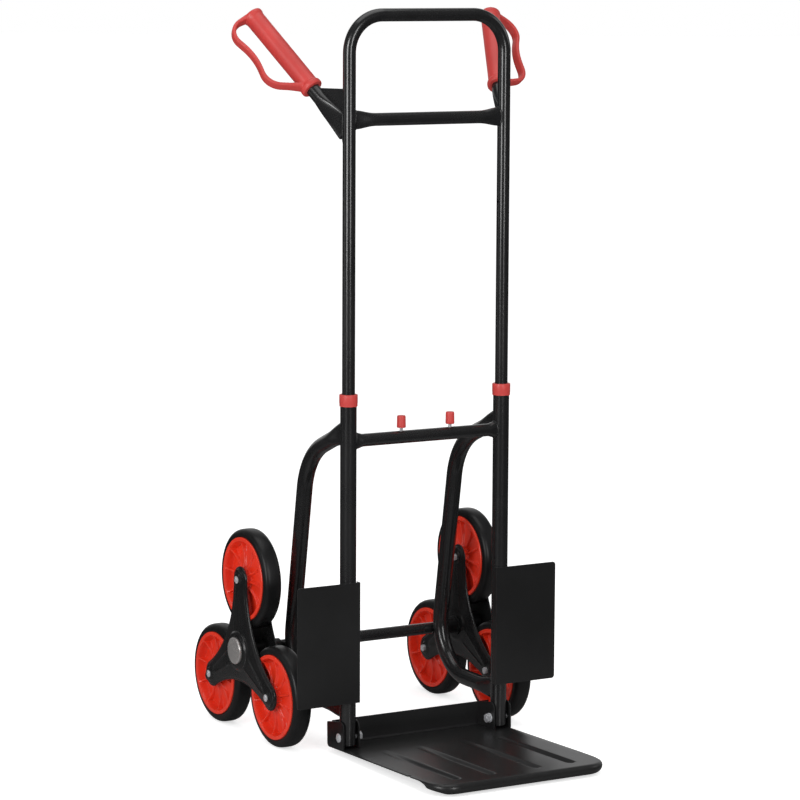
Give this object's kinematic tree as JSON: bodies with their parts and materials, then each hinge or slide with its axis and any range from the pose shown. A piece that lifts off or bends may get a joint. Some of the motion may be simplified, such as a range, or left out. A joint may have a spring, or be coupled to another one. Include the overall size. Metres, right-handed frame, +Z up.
{
  "type": "stair climbing trolley",
  "caption": "Folding stair climbing hand truck: telescopic tube frame with angled hand grips, fold-up toe plate, wheel guards and three-wheel star hubs on one axle.",
  "frame": {"origin": "on the floor, under the middle of the trolley's overall box", "axes": "+Z up along the uprights; +X across, towards the right-hand wheels seen from the front; -Y is the front, with the toe plate"},
  "size_m": [0.517, 0.685, 1.155],
  "materials": {
    "black_paint": "glossy black powder coat",
    "plate_paint": "satin black powder coat",
    "zinc": "bright zinc plate",
    "chrome": "polished chrome",
    "rim_red": "glossy moulded plastic",
    "grip_red": "satin moulded plastic",
    "black_plastic": "fine moulded texture",
    "tyre_black": "smooth solid rubber",
    "spring_steel": "drawn wire"
  },
  "bodies": {
    "frame": {"upright_left": "black_paint", "upright_right": "black_paint", "lower_crossbar": "black_paint", "side_loop_left": "black_paint", "side_loop_right": "black_paint", "wheel_guard_left": "plate_paint", "wheel_guard_right": "plate_paint", "collar_left": "grip_red", "collar_right": "grip_red", "foot_plugs": "black_plastic", "axle": "black_paint", "axle_spacers": "black_plastic", "hub_caps": "chrome", "hinge_bolts": "zinc", "hinge_nuts": "zinc", "lock_guides": "black_plastic", "spring_seat": "black_plastic", "lock_spring_left": "spring_steel", "lock_spring_right": "spring_steel"},
    "handle": {"handle_tube": "black_paint", "upper_crossbar": "black_paint", "slide_bushes": "black_plastic", "grip_stem_left": "black_paint", "grip_stem_right": "black_paint", "stem_gusset_left": "black_paint", "stem_gusset_right": "black_paint", "grip_left": "grip_red", "grip_right": "grip_red"},
    "toe": {"toe_plate": "plate_paint"},
    "lock_left": {"lock_pin_left": "zinc", "lock_stem_left": "zinc", "lock_knob_left": "grip_red"},
    "star_left": {"star_outer_left": "black_plastic", "star_inner_left": "black_plastic", "star_hub_left": "black_plastic", "wheel_bolts_left": "zinc", "wheel_nuts_left": "zinc", "wheel_sleeves_left": "zinc"},
    "wheel_left_top": {"rim_left_top": "rim_red", "tyre_left_top": "tyre_black"},
    "wheel_left_front": {"rim_left_front": "rim_red", "tyre_left_front": "tyre_black"},
    "wheel_left_rear": {"rim_left_rear": "rim_red", "tyre_left_rear": "tyre_black"},
    "lock_right": {"lock_pin_right": "zinc", "lock_stem_right": "zinc", "lock_knob_right": "grip_red"},
    "star_right": {"star_outer_right": "black_plastic", "star_inner_right": "black_plastic", "star_hub_right": "black_plastic", "wheel_bolts_right": "zinc", "wheel_nuts_right": "zinc", "wheel_sleeves_right": "zinc"},
    "wheel_right_top": {"rim_right_top": "rim_red", "tyre_right_top": "tyre_black"},
    "wheel_right_front": {"rim_right_front": "rim_red", "tyre_right_front": "tyre_black"},
    "wheel_right_rear": {"rim_right_rear": "rim_red", "tyre_right_rear": "tyre_black"}
  },
  "joints": [
    {"name": "handle_slide", "type": "slide", "parent": "frame", "child": "handle", "axis": [0, 0, -1], "range_m": [0, 0.36]},
    {"name": "toe_fold", "type": "hinge", "parent": "frame", "child": "toe", "pos_m": [0, -0.03756, 0.029], "axis": [-1, 0, 0], "range_deg": [0, 88]},
    {"name": "lock_left_slide", "type": "slide", "parent": "frame", "child": "lock_left", "axis": [-1, 0, 0], "range_m": [0, 0.0055], "deforming": ["lock_spring_left"]},
    {"name": "lock_right_slide", "type": "slide", "parent": "frame", "child": "lock_right", "axis": [1, 0, 0], "range_m": [0, 0.0055], "deforming": ["lock_spring_right"]},
    {"name": "star_left_spin", "type": "hinge", "parent": "frame", "child": "star_left", "pos_m": [-0.202, 0.16342, 0.1372], "axis": [1, 0, 0], "continuous": true},
    {"name": "wheel_left_top_spin", "type": "hinge", "parent": "star_left", "child": "wheel_left_top", "pos_m": [-0.202, 0.16342, 0.2516], "axis": [1, 0, 0], "continuous": true},
    {"name": "wheel_left_front_spin", "type": "hinge", "parent": "star_left", "child": "wheel_left_front", "pos_m": [-0.202, 0.06435, 0.08], "axis": [1, 0, 0], "continuous": true},
    {"name": "wheel_left_rear_spin", "type": "hinge", "parent": "star_left", "child": "wheel_left_rear", "pos_m": [-0.202, 0.26249, 0.08], "axis": [1, 0, 0], "continuous": true},
    {"name": "star_right_spin", "type": "hinge", "parent": "frame", "child": "star_right", "pos_m": [0.202, 0.16342, 0.1372], "axis": [1, 0, 0], "continuous": true},
    {"name": "wheel_right_top_spin", "type": "hinge", "parent": "star_right", "child": "wheel_right_top", "pos_m": [0.202, 0.16342, 0.2516], "axis": [1, 0, 0], "continuous": true},
    {"name": "wheel_right_front_spin", "type": "hinge", "parent": "star_right", "child": "wheel_right_front", "pos_m": [0.202, 0.06435, 0.08], "axis": [1, 0, 0], "continuous": true},
    {"name": "wheel_right_rear_spin", "type": "hinge", "parent": "star_right", "child": "wheel_right_rear", "pos_m": [0.202, 0.26249, 0.08], "axis": [1, 0, 0], "continuous": true}
  ]
}
